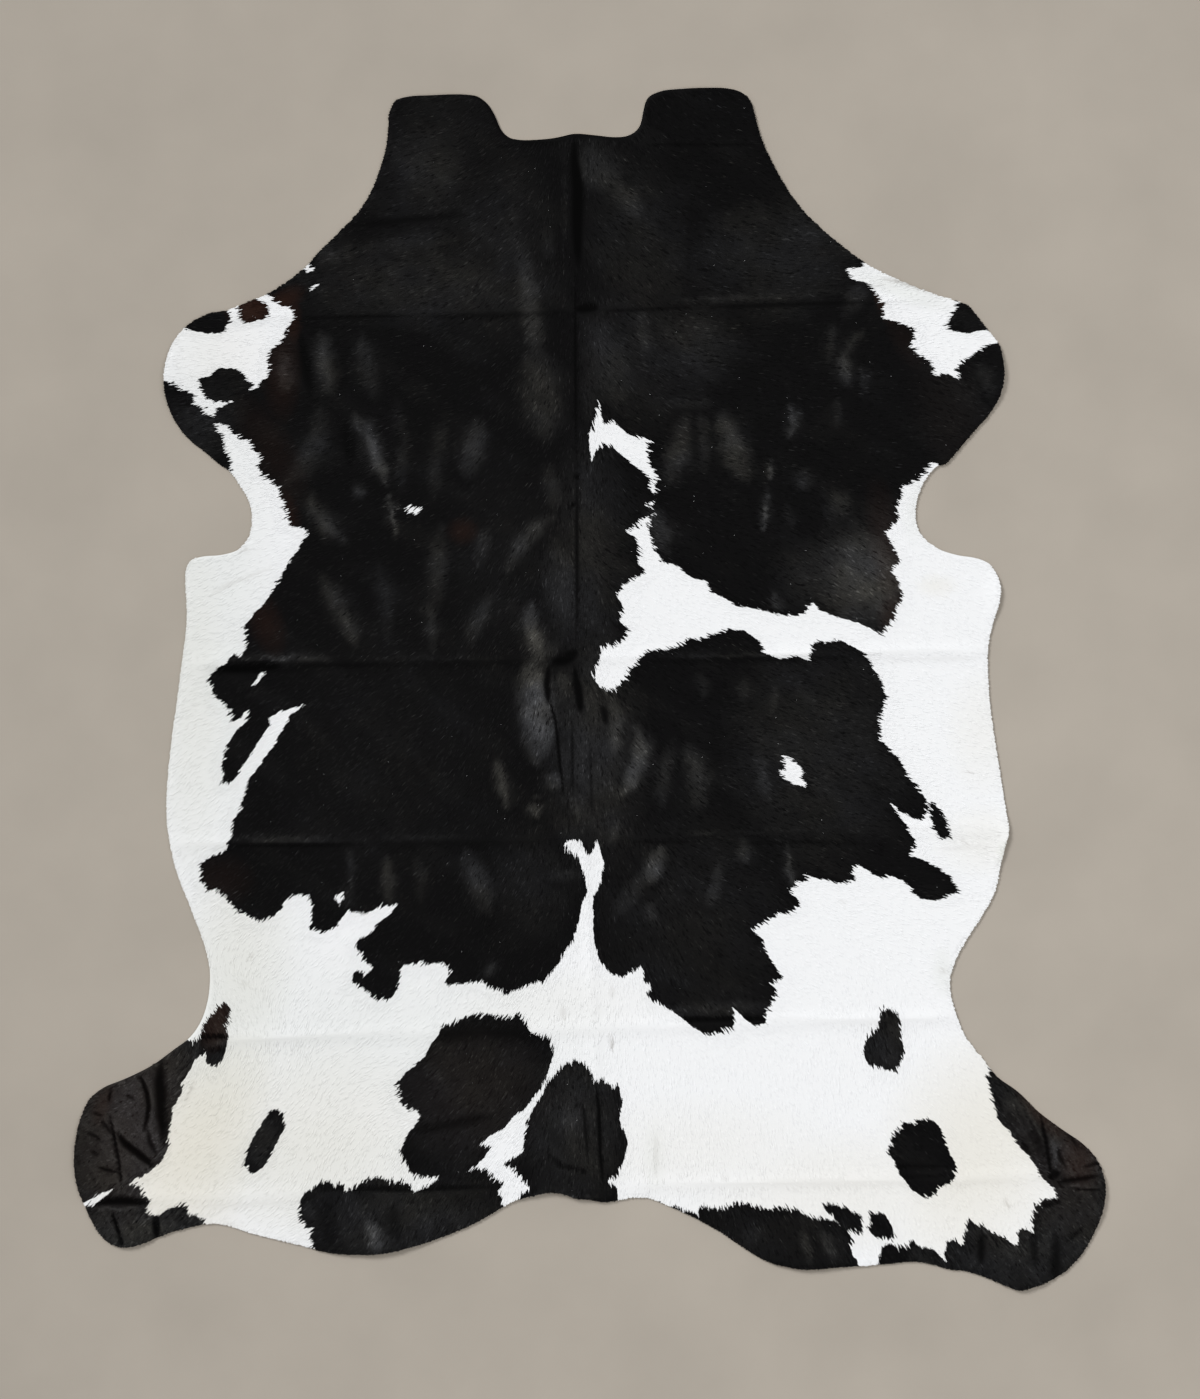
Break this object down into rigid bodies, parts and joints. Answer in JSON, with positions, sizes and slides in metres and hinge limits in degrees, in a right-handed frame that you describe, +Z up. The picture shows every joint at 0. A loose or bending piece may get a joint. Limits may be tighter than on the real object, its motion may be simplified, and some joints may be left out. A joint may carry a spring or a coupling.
{
  "type": "cowhide rug",
  "caption": "Whole tanned cowhide laid flat as a floor rug, hair side up, black and white coat, with neck flaps, legs and storage fold lines.",
  "frame": {"origin": "centre of the outline's box, on the surface that the hide rests on", "axes": "+X across the hide to the right as seen from above with the neck up, +Y along the spine towards the neck, +Z up out of the hair side"},
  "size_m": [1.9209, 2.2402, 0.0108],
  "materials": {
    "coat": "short glossy hair, black patches on white, lying flat",
    "skin": "matt suede flesh side and cut edge"
  },
  "bodies": {
    "root": {"hide": "coat"}
  },
  "joints": []
}
